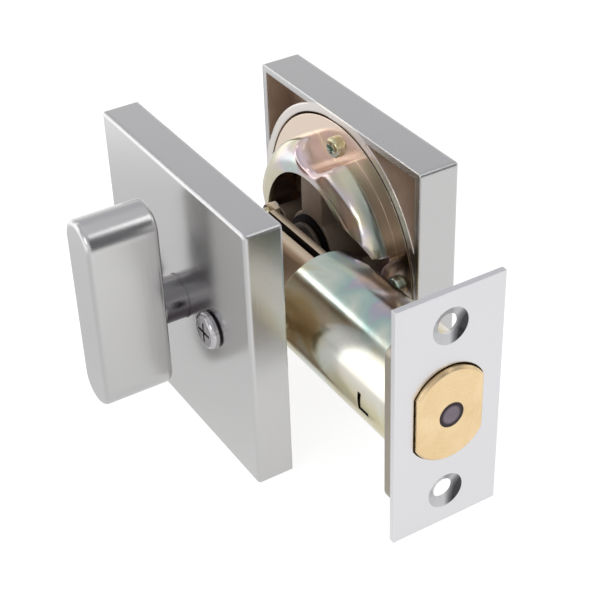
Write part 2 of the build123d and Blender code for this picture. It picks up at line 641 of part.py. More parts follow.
def detent_spring():
    """Flat spring from the case's back wall to the tail rivet, over the hub's flat."""
    low = HUB_R + SPRING_LIFT
    back = TAIL_RIVET_AT[0]
    return block((back, CASE_BACK), (-SPRING_WIDTH / 2, SPRING_WIDTH / 2), (low, low + SPRING_SHEET))


def plate_holes():
    """Z of the two screw holes in the faceplate."""
    return -FACE_SPACING / 2, FACE_SPACING / 2


def faceplate():
    """Square-cornered plate with the bolt's opening and two countersunk holes."""
    back = BACKSET - FACE_SHEET
    plate = along(Rectangle(FACE_WIDTH, FACE_HEIGHT) - bolt_outline(BOLT_ROOM), back, BACKSET)
    for z in plate_holes():
        plate -= rod_x(FACE_HOLE_R, back - OVERCUT, BACKSET + OVERCUT, 0, z)
        cone = Cone(FACE_HOLE_R, FACE_SINK_R, FACE_SHEET - FACE_LAND,
                    align=(Align.CENTER, Align.CENTER, Align.MIN))
        plate -= Pos(back + FACE_LAND, 0, z) * Rot(0, 90, 0) * cone
    return plate


def backing_plate():
    """Plate behind the faceplate, notched round its screw holes."""
    outline = RectangleRounded(FACE_WIDTH, BACK_HEIGHT, BACK_CORNER) - bolt_outline(BOLT_ROOM)
    for z in plate_holes():
        outline -= Pos(0, z) * Circle(FACE_SINK_R + FACE_NOTCH_ROOM)
    return along(outline, CASE_FRONT, CASE_FRONT + BACK_SHEET)


PIECES = [
    interior_rose, thumbturn, turn_washer, turn_clip, mounting_screws,
    exterior_rose, guard_plate, guard_screws,
    cylinder_housing, chamber_cover, cylinder_plug, plug_clip, key_pins, driver_pins, pin_springs,
    tailpiece, drive_hub, bolt_link, link_rivet, bolt, bolt_pin,
    latch_case, tail_rivet, detent_spring, faceplate, backing_plate,
]

os.makedirs("parts", exist_ok=True)
for piece in PIECES:
    export_step(Pos(FACE_SHEET - BACKSET, 0, 0) * piece(), f"parts/{piece.__name__}.step")
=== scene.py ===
import math

import bpy
from mathutils import Matrix, Vector


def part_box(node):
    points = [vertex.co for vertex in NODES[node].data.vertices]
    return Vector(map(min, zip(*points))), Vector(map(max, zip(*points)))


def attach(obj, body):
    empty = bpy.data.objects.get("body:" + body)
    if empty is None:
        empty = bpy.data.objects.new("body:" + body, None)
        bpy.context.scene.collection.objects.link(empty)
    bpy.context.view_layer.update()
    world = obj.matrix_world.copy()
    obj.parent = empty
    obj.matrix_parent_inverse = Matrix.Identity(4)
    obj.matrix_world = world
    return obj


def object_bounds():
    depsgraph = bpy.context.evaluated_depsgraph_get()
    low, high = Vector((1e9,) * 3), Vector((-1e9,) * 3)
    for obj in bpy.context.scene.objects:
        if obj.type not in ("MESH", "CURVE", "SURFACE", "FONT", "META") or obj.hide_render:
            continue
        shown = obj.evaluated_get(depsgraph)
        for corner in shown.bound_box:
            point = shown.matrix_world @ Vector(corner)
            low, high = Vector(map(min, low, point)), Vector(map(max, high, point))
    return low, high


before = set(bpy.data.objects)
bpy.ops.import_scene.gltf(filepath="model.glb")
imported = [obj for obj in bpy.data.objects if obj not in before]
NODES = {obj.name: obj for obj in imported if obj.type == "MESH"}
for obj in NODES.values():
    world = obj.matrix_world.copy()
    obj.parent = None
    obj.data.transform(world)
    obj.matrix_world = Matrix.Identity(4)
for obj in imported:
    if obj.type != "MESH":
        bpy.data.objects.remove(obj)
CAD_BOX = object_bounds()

MM = 0.001

# Camera, solved from the lock's own edges for a square picture
PICTURE = 600
FOCAL_PIXELS = 1456.78
SENSOR = 36.0
AZIMUTH, ELEVATION, ROLL = 59.56, 34.99, -2.16
DISTANCE = 312.03 * MM
AIM = Vector((-43.7, -6.08, 2.89)) * MM

# Surroundings: the radiance that a mirror would show
WHITE = (1.0, 1.0, 1.0, 1.0)
HORIZON = WHITE
DOME = (0.63, 0.635, 0.67, 1.0)
ZENITH = (0.80, 0.81, 0.84, 1.0)
FLAG = (0.18, 0.18, 0.19, 1.0)       # dark board low down behind the street side
FLAG_WAY = (0.86, 0.40, 0.31)
FLAG_EDGE = (0.80, 0.95)             # cosines between which it fades in

# Lamps: name, way from the lock, distance, side of the square, radiance
LAMPS = (
    ("key_lamp", (-0.69, -0.27, 0.67), 0.55, 0.075, 3.0),
    ("side_lamp", (-0.65, -0.69, 0.30), 0.60, 0.36, 0.8),
    ("top_lamp", (0.50, 0.42, 0.76), 0.60, 0.22, 1.4),
    ("front_lamp", (0.35, -0.80, 0.47), 0.60, 0.20, 2.4))

# Floor: matt grey for the shadow, a glow for the picture and another for what metal mirrors
FLOOR_REACH = 3.0
FLOOR_DROP = 0.2 * MM                # below the lock's lowest point
FLOOR_MATT = (0.32, 0.32, 0.32, 1.0)
FLOOR_SEEN = 0.86                    # glow in the picture
FLOOR_NEAR, FLOOR_FAR = 0.56, 0.82   # mirrored glow before the room side and behind the street side
FLOOR_BRIGHT = 1.3                   # mirrored glow far out before the room side
FLOOR_DIM = 0.2                      # share of it that is left far out past the faceplate
FLOOR_WAY = (2.0, 2.0, 0.0)          # from before the room side to behind the street side
FAR_STEP = (-0.35, 0.05)             # dot products with it between which near goes over to far
BRIGHT_STEP = (-0.43, -0.70)         # and between which the bright part comes in
DIM_WAY = (0.91, 0.42, 0.0)          # out past the faceplate
DIM_STEP = (0.18, 0.34)              # dot products with it between which the glow falls

# Places on the lock that materials need, from the pieces in model.glb
STREET_LOW, STREET_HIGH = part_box("exterior_rose")
ROOM_LOW, ROOM_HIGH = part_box("interior_rose")
HOUSING_LOW, HOUSING_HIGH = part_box("cylinder_housing")
SCREW_LOW, SCREW_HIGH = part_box("mounting_screws")
CASE_LOW, CASE_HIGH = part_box("latch_case")
GUARD_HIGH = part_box("guard_plate")[1]
TURN_LOW, TURN_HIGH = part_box("thumbturn")
CENTRE = (CAD_BOX[0] + CAD_BOX[1]) / 2
STREET_MIDDLE = (STREET_LOW + STREET_HIGH) / 2
LOCK_AXIS = STREET_MIDDLE.x

# Sizes of the lock's features that materials and threads follow; a mask reaches a little past its feature
ROSE_WALL = 1.7 * MM         # wall left bright round the hollow of a rose
ROSE_RIM = 0.15 * MM         # depth of its bright rim
ROSE_FACE = 1.0 * MM         # thickness left bright at its face
RING_RADIUS = 32.4 * MM      # outside of the round wall in the street rose
CAST_BACK = 8.0 * MM         # bare casting behind the housing, to take in the plug's end
CAST_FRONT = 0.1 * MM        # and past the street rose's face, where the plating starts
BOX_MARGIN = 1.0 * MM        # of a box round what it holds
FACE_HOLES = 41.3 * MM       # between the faceplate's two holes
SINK_RADIUS = 4.15 * MM      # of a countersink
SCREW_HEAD_RADIUS = 4.2 * MM
SCREW_SHANK_RADIUS = 2.0 * MM
THREAD_RIDGE, THREAD_PITCH = 0.32 * MM, 0.8 * MM
THREAD_GAP = 2.0 * MM        # from the room rose to the first thread
THREAD_HOLD = 1.0 * MM       # of the last threads in the cylinder's posts
DIMPLE_PLACE = 29.4 * MM     # of a dimple's axis from the lock's
TAIL_INSIDE = 2.55 * MM      # from the tail's middle to its plates
TAIL_SLIT = 0.9 * MM         # half the slot between its lips
TAIL_TOP = 9.45 * MM         # under side of the lips
TURN_SLAB = 16.4 * MM        # length of the turn's slab, without its neck
TUBE_START = LOCK_AXIS + 20.0 * MM   # back of the latch's tube

# Boxes that part of a finish fills, by low and high corner
STREET_HOLLOW = (STREET_LOW + Vector((ROSE_WALL, ROSE_RIM, ROSE_WALL)),
                 STREET_HIGH - Vector((ROSE_WALL, ROSE_FACE, ROSE_WALL)))
ROOM_HOLLOW = (ROOM_LOW + Vector((ROSE_WALL, ROSE_FACE, ROSE_WALL)),
               ROOM_HIGH - Vector((ROSE_WALL, ROSE_RIM, ROSE_WALL)))
CAST_BODY = (HOUSING_LOW - Vector((BOX_MARGIN, CAST_BACK, BOX_MARGIN)),
             Vector((HOUSING_HIGH.x + BOX_MARGIN, STREET_HIGH.y + CAST_FRONT, HOUSING_HIGH.z + BOX_MARGIN)))
CASE_TAIL = (CASE_LOW - Vector((BOX_MARGIN, BOX_MARGIN, BOX_MARGIN)),
             Vector((TUBE_START, CASE_HIGH.y + BOX_MARGIN, CASE_HIGH.z + BOX_MARGIN)))
TURN_NECK = (Vector((TURN_LOW.x, TURN_LOW.y + TURN_SLAB, TURN_LOW.z)),
             TURN_HIGH + Vector((0.0, BOX_MARGIN, 0.0)))

# Places between which a tint, a painted highlight or a painted shade fades in
FLANGE_STEP = (GUARD_HIGH.y - 2.4 * MM, GUARD_HIGH.y - 1.3 * MM)      # Y, from the guard's lip to its flange
WALL_FOOT_STEP = (GUARD_HIGH.y - 4.4 * MM, GUARD_HIGH.y - 3.0 * MM)
SHOULDER_STEP = (GUARD_HIGH.y - 6.8 * MM, GUARD_HIGH.y - 5.4 * MM)
LATCH_SIDE_STEP = (6.0 * MM, 20.0 * MM)     # from the lock's axis towards the latch
DIMPLE_STEP = (11.4 * MM, 9.6 * MM)         # in towards a dimple's axis
BLUSH_STEP = (14.0 * MM, 0.0)               # Z, down the guard
HIGHLIGHT_STEPS = (                            # X, Y and Z on the latch's tube, where the highlight is painted
    (CASE_HIGH.x - 30.0 * MM, CASE_HIGH.x - 20.0 * MM), (-7.0 * MM, -9.5 * MM), (-1.0 * MM, 4.0 * MM))
NECK_STEP = (2.0 * MM, -1.0 * MM)           # Z, down the turn's neck, where its painted shade deepens
CORNER_STEP = (ROOM_LOW.y - 0.6 * MM, ROOM_LOW.y - 0.3 * MM)          # Y, under a mounting screw's head, where painted shade falls
CORNER_END = ROOM_LOW.y + 0.5 * MM
PIN_RIM_STEP = (1.6 * MM, 2.4 * MM)         # out from the bolt's axis, where the pin's painted shade comes in


def tint(red, green, blue):
    """Linear colour from the 0 to 255 values that a screen shows."""
    linear = []
    for value in (red, green, blue):
        share = value / 255
        linear.append(share / 12.92 if share <= 0.04045 else ((share + 0.055) / 1.055) ** 2.4)
    return (*linear, 1.0)


NICKEL, NICKEL_STREET, NICKEL_GRAIN_AND_HIGHLIGHT = tint(198, 197, 196), tint(191, 190, 189), tint(226, 226, 226)
UPRIGHT_GRAIN = (2600.0, 2600.0, 70.0)
SHEET_GRAIN = (90.0, 1500.0, 1500.0)
FACE_GRAIN = (800.0, 5200.0, 130.0)
NICKEL_SMEAR = {"Scale": 55.0, "Contrast": 1.4}
ZINC_WASH = tint(222, 222, 216)
CAST_DULL = 0.8              # how far the bare casting is from bright metal


def feed(tree, value, socket):
    """Links a socket to an input, or sets a plain value on it."""
    if isinstance(value, bpy.types.NodeSocket):
        tree.links.new(value, socket)
    else:
        socket.default_value = value


def add(tree, kind, inputs=None, **settings):
    """New node with its settings; inputs hold values or sockets to link from."""
    made = tree.nodes.new(kind)
    for name, value in settings.items():
        setattr(made, name, value)
    for name, value in (inputs or {}).items():
        feed(tree, value, made.inputs[name])
    return made


def maths(tree, operation, first, second=0.0, clamp=False):
    """One sum on values or sockets."""
    made = add(tree, "ShaderNodeMath", {0: first, 1: second}, operation=operation, use_clamp=clamp)
    return made.outputs[0]


def times(tree, first, second):
    """Product of two values or sockets."""
    return maths(tree, "MULTIPLY", first, second)


def less(tree, value, limit):
    """1 where a value is under a limit, 0 elsewhere."""
    return maths(tree, "LESS_THAN", value, limit)


def opposite(tree, share):
    """What is left of 1."""
    return maths(tree, "SUBTRACT", 1.0, share)


def distance(tree, first, second):
    """Length of two sides set square to each other."""
    squares = maths(tree, "ADD", maths(tree, "POWER", first, 2.0), maths(tree, "POWER", second, 2.0))
    return maths(tree, "SQRT", squares)


def soft_step(tree, value, start, end, low=0.0, high=1.0):
    """Low before the start, high past the end, smooth between."""
    made = add(tree, "ShaderNodeMapRange", {
        "Value": value, "From Min": start, "From Max": end, "To Min": low, "To Max": high},
        interpolation_type="SMOOTHSTEP")
    return made.outputs["Result"]


def vectors(tree, operation, first, second=(0.0, 0.0, 0.0)):
    """One sum on vectors; a length or a dot product comes out as a value."""
    made = add(tree, "ShaderNodeVectorMath", {0: first, 1: second}, operation=operation)
    return made.outputs["Value" if operation in ("LENGTH", "DOT_PRODUCT") else "Vector"]


def place_on(tree):
    """Place on a piece, in its own frame."""
    return add(tree, "ShaderNodeTexCoord").outputs["Object"]


def apart(tree, vector):
    """X, Y and Z of a vector."""
    split = add(tree, "ShaderNodeSeparateXYZ", {0: vector}).outputs
    return split["X"], split["Y"], split["Z"]


def off_axis(tree, middle, across):
    """Distance from an axis through a middle; across is 1 along the two other axes."""
    away = vectors(tree, "SUBTRACT", place_on(tree), middle)
    return vectors(tree, "LENGTH", vectors(tree, "MULTIPLY", away, across))


def ramp(tree, factor, stops):
    """Colour ramp through (place, colour) stops."""
    made = add(tree, "ShaderNodeValToRGB", {"Fac": factor})
    band = made.color_ramp
    while len(band.elements) < len(stops):
        band.elements.new(1.0)
    for element, (place, colour) in zip(band.elements, stops):
        element.position = place
        element.color = colour
    return made.outputs["Color"]


def mix(tree, factor, first, second, kind="Color", blend="MIX"):
    """Mix of two colours or vectors, values or sockets."""
    made = add(tree, "ShaderNodeMix", data_type={"Color": "RGBA", "Vector": "VECTOR"}[kind], blend_type=blend)
    for name, value in (("Factor_Float", factor), ("A_" + kind, first), ("B_" + kind, second)):
        feed(tree, value, next(s for s in made.inputs if s.identifier == name))
    return next(s for s in made.outputs if s.identifier == "Result_" + kind)


def stain(tree, shade, mask, strength, colour):
    """A colour laid over a shade where a mask says."""
    return mix(tree, times(tree, mask, strength), shade, colour)


def group(name, inputs, outputs):
    """Empty shader group with named sockets, and its two end nodes."""
    tree = bpy.data.node_groups.new(name, "ShaderNodeTree")
    for label, kind, value in inputs:
        socket = tree.interface.new_socket(label, in_out="INPUT", socket_type=kind)
        socket.default_value = value
    for label, kind in outputs:
        tree.interface.new_socket(label, in_out="OUTPUT", socket_type=kind)
    return tree, add(tree, "NodeGroupInput").outputs, add(tree, "NodeGroupOutput").inputs


def grain_group():
    """Fine lines left by brushing: noise drawn out along one axis."""
    tree, start, end = group(
        "Brushed grain",
        [("Stretch", "NodeSocketVector", (100.0, 100.0, 3000.0)), ("Detail", "NodeSocketFloat", 3.0)],
        [("Grain", "NodeSocketFloat")])
    drawn = vectors(tree, "MULTIPLY", place_on(tree), start["Stretch"])
    noise = add(tree, "ShaderNodeTexNoise", {
        "Vector": drawn, "Scale": 1.0, "Detail": start["Detail"], "Roughness": 0.6})
    tree.links.new(noise.outputs["Fac"], end["Grain"])
    return tree


def smear_group():
    """Slow cloudy change of a polished surface, as handling leaves it."""
    tree, start, end = group(
        "Handling smears",
        [("Scale", "NodeSocketFloat", 60.0), ("Contrast", "NodeSocketFloat", 1.0)],
        [("Smear", "NodeSocketFloat")])
    noise = add(tree, "ShaderNodeTexNoise", {
        "Vector": place_on(tree), "Scale": start["Scale"], "Detail": 4.0,
        "Roughness": 0.55, "Distortion": 0.6})
    spread = times(tree, maths(tree, "SUBTRACT", noise.outputs["Fac"], 0.5), start["Contrast"])
    tree.links.new(maths(tree, "ADD", spread, 0.5, clamp=True), end["Smear"])
    return tree


def edge_group():
    """Softened edges: the rounded normal, and a mask of the edges, where a highlight is painted."""
    tree, start, end = group(
        "Soft edges",
        [("Radius", "NodeSocketFloat", 0.0003), ("Gain", "NodeSocketFloat", 6.0)],
        [("Normal", "NodeSocketVector"), ("Edge", "NodeSocketFloat")])
    round_normal = add(tree, "ShaderNodeBevel", {"Radius": start["Radius"]}, samples=6).outputs["Normal"]
    flat = add(tree, "ShaderNodeNewGeometry").outputs["Normal"]
    lost = opposite(tree, vectors(tree, "DOT_PRODUCT", round_normal, flat))
    tree.links.new(round_normal, end["Normal"])
    tree.links.new(maths(tree, "MULTIPLY", lost, start["Gain"], clamp=True), end["Edge"])
    return tree


def box_group():
    """1 inside a box with edges along the axes, 0 outside."""
    tree, start, end = group(
        "Inside box",
        [("Low", "NodeSocketVector", (0.0, 0.0, 0.0)), ("High", "NodeSocketVector", (0.0, 0.0, 0.0))],
        [("Inside", "NodeSocketFloat")])
    place = place_on(tree)
    above = vectors(tree, "SUBTRACT", place, start["Low"])
    below = vectors(tree, "SUBTRACT", start["High"], place)
    x, y, z = apart(tree, vectors(tree, "MINIMUM", above, below))
    least = maths(tree, "MINIMUM", maths(tree, "MINIMUM", x, y), z)
    tree.links.new(maths(tree, "GREATER_THAN", least, 0.0), end["Inside"])
    return tree


def film_group():
    """Rainbow tint of a passivated zinc film, whose thickness wanders over the sheet."""
    tree, start, end = group(
        "Passivation film",
        [("Scale", "NodeSocketFloat", 45.0), ("Drift", "NodeSocketVector", (6.0, 9.0, 14.0)),
         ("Shift", "NodeSocketFloat", 0.0)],
        [("Color", "NodeSocketColor")])
    place = place_on(tree)
    noise = add(tree, "ShaderNodeTexNoise", {
        "Vector": place, "Scale": start["Scale"], "Detail": 3.0, "Roughness": 0.5, "Distortion": 1.2})
    film = maths(tree, "ADD", noise.outputs["Fac"], vectors(tree, "DOT_PRODUCT", place, start["Drift"]))
    film = maths(tree, "PINGPONG", maths(tree, "ADD", film, start["Shift"]), 1.0)
    colour = ramp(tree, film, [
        (0.00, tint(232, 218, 204)), (0.16, tint(226, 224, 204)), (0.32, tint(196, 188, 142)),
        (0.45, tint(202, 192, 152)), (0.53, tint(206, 190, 188)), (0.61, tint(182, 180, 198)),
        (0.69, tint(168, 202, 194)), (0.86, tint(218, 228, 214)), (0.95, tint(208, 202, 158)),
        (1.00, tint(206, 194, 146))])
    tree.links.new(colour, end["Color"])
    return tree


GRAIN = grain_group()
SMEAR = smear_group()
EDGE = edge_group()
INSIDE = box_group()
FILM = film_group()


def use(tree, shared, **inputs):
    """Places a shared group in a material, with its own values."""
    made = tree.nodes.new("ShaderNodeGroup")
    made.node_tree = shared
    for name, value in inputs.items():
        made.inputs[name].default_value = value
    return made.outputs


def within(tree, box):
    """1 inside a box given by its low and high corners."""
    return use(tree, INSIDE, Low=box[0], High=box[1])["Inside"]


def metal(name):
    """New metallic material: itself, its node tree and its shader's inputs."""
    made = bpy.data.materials.new(name)
    made.use_nodes = True
    sockets = made.node_tree.nodes["Principled BSDF"].inputs
    sockets["Metallic"].default_value = 1.0
    return made, made.node_tree, sockets


def surface(tree, sockets, shade, rough, normal):
    """Links what every finish has to its shader."""
    for name, value in (("Base Color", shade), ("Roughness", rough), ("Normal", normal)):
        tree.links.new(value, sockets[name])


def roughness(tree, base, *parts):
    """Base roughness with (mask, share) parts that swing it about their middle."""
    value = base
    for mask, share in parts:
        value = maths(tree, "ADD", times(tree, maths(tree, "SUBTRACT", mask, 0.5), share), value)
    return value


def bump(tree, height, normal, strength, depth):
    """Normal tilted as if a height were cut to a depth."""
    made = add(tree, "ShaderNodeBump", {
        "Height": height, "Normal": normal, "Strength": strength, "Distance": depth})
    return made.outputs["Normal"]


def casting(tree, level):
    """Brown-grey skin of an unplated casting: its colour scaled by a level of painted light or shade, and its
    grain's height.
    """
    place = place_on(tree)
    cloud = add(tree, "ShaderNodeTexNoise", {
        "Vector": place, "Scale": 110.0, "Detail": 5.0, "Distortion": 0.4})
    fine = add(tree, "ShaderNodeTexNoise", {"Vector": place, "Scale": 1400.0, "Detail": 3.0})
    colour = ramp(tree, cloud.outputs["Fac"], [
        (0.25, tint(168, 148, 130)), (0.5, tint(196, 174, 154)), (0.8, tint(218, 198, 178))])
    return mix(tree, 1.0, colour, (level, level, level, 1.0), blend="MULTIPLY"), fine.outputs["Fac"]


def plated(name, colour, rough, hollow=None, cast_light_level=1.0, marks_and_painted_light=None):
    """Satin nickel: brushed grain, handling smears and painted highlights on the edges; a hollow shows
    unplated casting.
    """
    made, tree, sockets = metal(name)
    grain = use(tree, GRAIN, Stretch=UPRIGHT_GRAIN)["Grain"]
    smear = use(tree, SMEAR, **NICKEL_SMEAR)["Smear"]
    edge = use(tree, EDGE, Radius=0.7 * MM)
    shade = stain(tree, colour, grain, 0.16, NICKEL_GRAIN_AND_HIGHLIGHT)
    # painted highlight on the edges
    shade = stain(tree, shade, edge["Edge"], 0.5, NICKEL_GRAIN_AND_HIGHLIGHT)
    rough = roughness(tree, rough, (grain, 0.10), (smear, 0.08))
    normal = bump(tree, grain, edge["Normal"], 0.10, 0.04 * MM)
    if hollow:
        inside = within(tree, hollow)
        # unplated casting, scaled by a level that paints light or shade
        skin, pits = casting(tree, cast_light_level)
        shade = mix(tree, inside, shade, skin)
        rough = maths(tree, "ADD", rough, times(tree, inside, 0.22))
        normal = mix(tree, inside, normal, bump(tree, pits, edge["Normal"], 0.35, 0.12 * MM), "Vector")
        tree.links.new(opposite(tree, times(tree, inside, CAST_DULL)), sockets["Metallic"])
    if marks_and_painted_light:
        shade = marks_and_painted_light(tree, shade)
    surface(tree, sockets, shade, rough, normal)
    return made


def ring_painted_highlight(tree, shade):
    """Painted highlight: a pale rim on the round wall in the street rose."""
    near = less(tree, off_axis(tree, STREET_MIDDLE, (1.0, 0.0, 1.0)), RING_RADIUS)
    front = less(tree, apart(tree, place_on(tree))[1], STREET_LOW.y + ROSE_RIM)
    return mix(tree, times(tree, near, front), shade, tint(230, 224, 218))


def neck_painted_shade(tree, shade):
    """Painted shade on the turn's neck, darker from its middle down."""
    smear = use(tree, SMEAR, **NICKEL_SMEAR)["Smear"]
    under = soft_step(tree, apart(tree, place_on(tree))[2], *NECK_STEP)
    dark = mix(tree, smear, tint(66, 60, 66), tint(90, 84, 90))
    return mix(tree, within(tree, TURN_NECK), shade, mix(tree, under, tint(150, 148, 150), dark))


def passivated(name, scale, drift, shift, rough=0.27, dull=None, pale=0.15, wash=ZINC_WASH, marks_and_painted_light=None):
    """Zinc plate with an iridescent film, paled by a wash; dull in a box where the sheet was formed."""
    made, tree, sockets = metal(name)
    film = use(tree, FILM, Scale=scale, Drift=drift, Shift=shift)["Color"]
    grain = use(tree, GRAIN, Stretch=SHEET_GRAIN)["Grain"]
    smear = use(tree, SMEAR, Scale=140.0, Contrast=1.6)["Smear"]
    edge = use(tree, EDGE, Radius=0.25 * MM)
    shade = mix(tree, pale, film, wash)
    # painted highlight on the edges
    shade = stain(tree, shade, edge["Edge"], 0.6, tint(230, 228, 220))
    shade = stain(tree, shade, smear, 0.14, tint(150, 138, 110))
    rough = roughness(tree, rough, (grain, 0.08), (smear, 0.14))
    if dull:
        inside = within(tree, dull)
        shade = mix(tree, inside, shade, tint(226, 208, 184))
        rough = maths(tree, "ADD", rough, times(tree, inside, 0.34))
    if marks_and_painted_light:
        shade = marks_and_painted_light(tree, shade)
    surface(tree, sockets, shade, rough, bump(tree, grain, edge["Normal"], 0.08, 0.04 * MM))
    return made


def guard_tints_and_painted_light(tree, shade):
    """Guard's film tints and painted reflections: peach flange, teal and brown by the latch, pink to lilac
    dimples.
    """
    x, y, z = apart(tree, place_on(tree))
    across = maths(tree, "SUBTRACT", x, LOCK_AXIS)
    flange = soft_step(tree, y, *FLANGE_STEP)
    wall_foot = soft_step(tree, y, *WALL_FOOT_STEP)
    shoulder = soft_step(tree, y, *SHOULDER_STEP)
    latch_side = soft_step(tree, across, *LATCH_SIDE_STEP)
    # painted reflections on the film: flange paled to peach, shoulder and wall foot darkened to teal and
    # brown by the latch
    shade = stain(tree, shade, flange, 0.8, tint(246, 224, 204))
    shade = stain(tree, shade, times(tree, shoulder, latch_side), 0.7, tint(138, 156, 152))
    shade = stain(tree, shade, times(tree, wall_foot, latch_side), 0.8, tint(182, 163, 144))
    aside, height = maths(tree, "ABSOLUTE", across), maths(tree, "ABSOLUTE", z)
    out = maths(tree, "SUBTRACT", maths(tree, "MAXIMUM", aside, height), DIMPLE_PLACE)
    away = distance(tree, out, maths(tree, "MINIMUM", aside, height))
    dimple = times(tree, soft_step(tree, away, *DIMPLE_STEP), opposite(tree, flange))
    # painted highlight on the dimples' walls in a pink to lilac film tint
    dimple_tint_and_highlight = mix(tree, soft_step(tree, z, *BLUSH_STEP), tint(240, 202, 208), tint(206, 186, 218))
    return stain(tree, shade, dimple, 0.45, dimple_tint_and_highlight)


def case_painted_light(tree, shade):
    """Painted highlight on the tube's room side near the faceplate, and painted shade inside the tail."""
    x, y, z = apart(tree, place_on(tree))
    painted_highlight = 1.0
    for value, step in zip((x, y, z), HIGHLIGHT_STEPS):
        painted_highlight = times(tree, painted_highlight, soft_step(tree, value, *step))
    shade = stain(tree, shade, painted_highlight, 0.75, tint(236, 234, 228))
    # painted shade between the tail's plates and in its slot, back to the tube
    side = maths(tree, "ABSOLUTE", y)
    between = times(tree, less(tree, z, TAIL_TOP), less(tree, side, TAIL_INSIDE))
    shaded_inside = maths(tree, "MAXIMUM", between, less(tree, side, TAIL_SLIT))
    return stain(tree, shade, times(tree, shaded_inside, less(tree, x, TUBE_START)), 0.9, tint(62, 48, 34))


def turned(name, dark, light, rough, axis, rings, marks_and_painted_light=None):
    """Machined metal with faint tool rings about one axis."""
    made, tree, sockets = metal(name)
    cut = add(tree, "ShaderNodeTexWave", {
        "Vector": place_on(tree), "Scale": rings, "Distortion": 1.5, "Detail": 2.0, "Detail Scale": 2.0},
        wave_type="RINGS", rings_direction=axis).outputs["Fac"]
    smear = use(tree, SMEAR, Scale=120.0, Contrast=1.5)["Smear"]
    edge = use(tree, EDGE, Radius=0.2 * MM)
    # the smear's random tone, with a painted highlight on the edges
    shade = stain(tree, mix(tree, smear, dark, light), edge["Edge"], 0.5, light)
    if marks_and_painted_light:
        shade = marks_and_painted_light(tree, shade)
    rough = roughness(tree, rough, (cut, 0.08), (smear, 0.12))
    surface(tree, sockets, shade, rough, bump(tree, cut, edge["Normal"], 0.05, 0.03 * MM))
    return made


def screw_painted_shade(tree, shade):
    """Painted shade in the corner between a mounting screw's head and the rose."""
    y = apart(tree, place_on(tree))[1]
    corner = times(tree, soft_step(tree, y, *CORNER_STEP), less(tree, y, CORNER_END))
    return mix(tree, corner, shade, tint(34, 30, 32))


def pin_painted_shade(tree, shade):
    """Painted shade as a dark rim round the end of the bolt's pin."""
    rim = soft_step(tree, off_axis(tree, (0.0, 0.0, 0.0), (0.0, 1.0, 1.0)), *PIN_RIM_STEP)
    return stain(tree, shade, rim, 0.9, tint(46, 38, 38))


def face_chrome():
    """Satin chrome of the faceplate, with painted highlight and painted shade going from bright to dark
    across its two countersinks.
    """
    made, tree, sockets = metal("faceplate_chrome")
    y, z = apart(tree, place_on(tree))[1:]
    height = maths(tree, "SUBTRACT", maths(tree, "ABSOLUTE", z), FACE_HOLES / 2)
    sink = less(tree, distance(tree, y, height), SINK_RADIUS)
    grain = use(tree, GRAIN, Stretch=FACE_GRAIN)["Grain"]
    smear = use(tree, SMEAR, Scale=50.0, Contrast=1.2)["Smear"]
    edge = use(tree, EDGE, Radius=0.2 * MM)
    shade = stain(tree, tint(218, 217, 219), grain, 0.3, tint(234, 233, 235))
    # painted highlight and shade in each countersink: white on one side, dark on the other
    rise = times(tree, height, maths(tree, "SIGN", z))
    lean = maths(tree, "SUBTRACT", y, times(tree, rise, 0.35))
    sink_painted_light = ramp(tree, maths(tree, "DIVIDE", lean, SINK_RADIUS), [
        (0.30, tint(255, 255, 255)), (0.55, tint(150, 150, 152)), (0.75, tint(44, 44, 46))])
    # painted highlight on the faceplate's edges
    shade = stain(tree, mix(tree, sink, shade, sink_painted_light), edge["Edge"], 0.4, tint(248, 248, 250))
    rough = roughness(tree, 0.30, (grain, 0.08), (smear, 0.06))
    rough = maths(tree, "SUBTRACT", rough, times(tree, sink, 0.18))
    tree.links.new(opposite(tree, sink), sockets["Metallic"])
    surface(tree, sockets, shade, rough, bump(tree, grain, edge["Normal"], 0.05, 0.03 * MM))
    return made


def dress(finish, *names):
    """Gives CAD nodes their finish."""
    for name in names:
        NODES[name].material_slots[0].material = finish


# The casting's level paints light in the room rose's hollow and shade in the housing and plug.
dress(plated("room_rose_nickel", NICKEL, 0.21, ROOM_HOLLOW, cast_light_level=1.3), "interior_rose")
# The street rose's round wall gets a painted highlight on its rim.
dress(plated("street_rose_nickel", NICKEL_STREET, 0.25, STREET_HOLLOW, marks_and_painted_light=ring_painted_highlight), "exterior_rose")
# The turn's neck gets painted shade.
dress(plated("turn_nickel", NICKEL, 0.22, marks_and_painted_light=neck_painted_shade), "thumbturn")
dress(plated("cylinder_nickel", NICKEL, 0.28, CAST_BODY, cast_light_level=0.6), "cylinder_housing")
dress(plated("plug_nickel", NICKEL, 0.26, CAST_BODY, cast_light_level=0.25), "cylinder_plug")
# The latch's tube gets a painted highlight, and its tail painted shade.
dress(passivated("case_zinc", 42.0, (0.0, -31.0, 0.0), 0.16, rough=0.20, dull=CASE_TAIL, marks_and_painted_light=case_painted_light),
      "latch_case")
dress(passivated("link_zinc", 42.0, (2.0, 26.0, 6.0), -0.1, rough=0.22), "tail_rivet", "bolt_link")
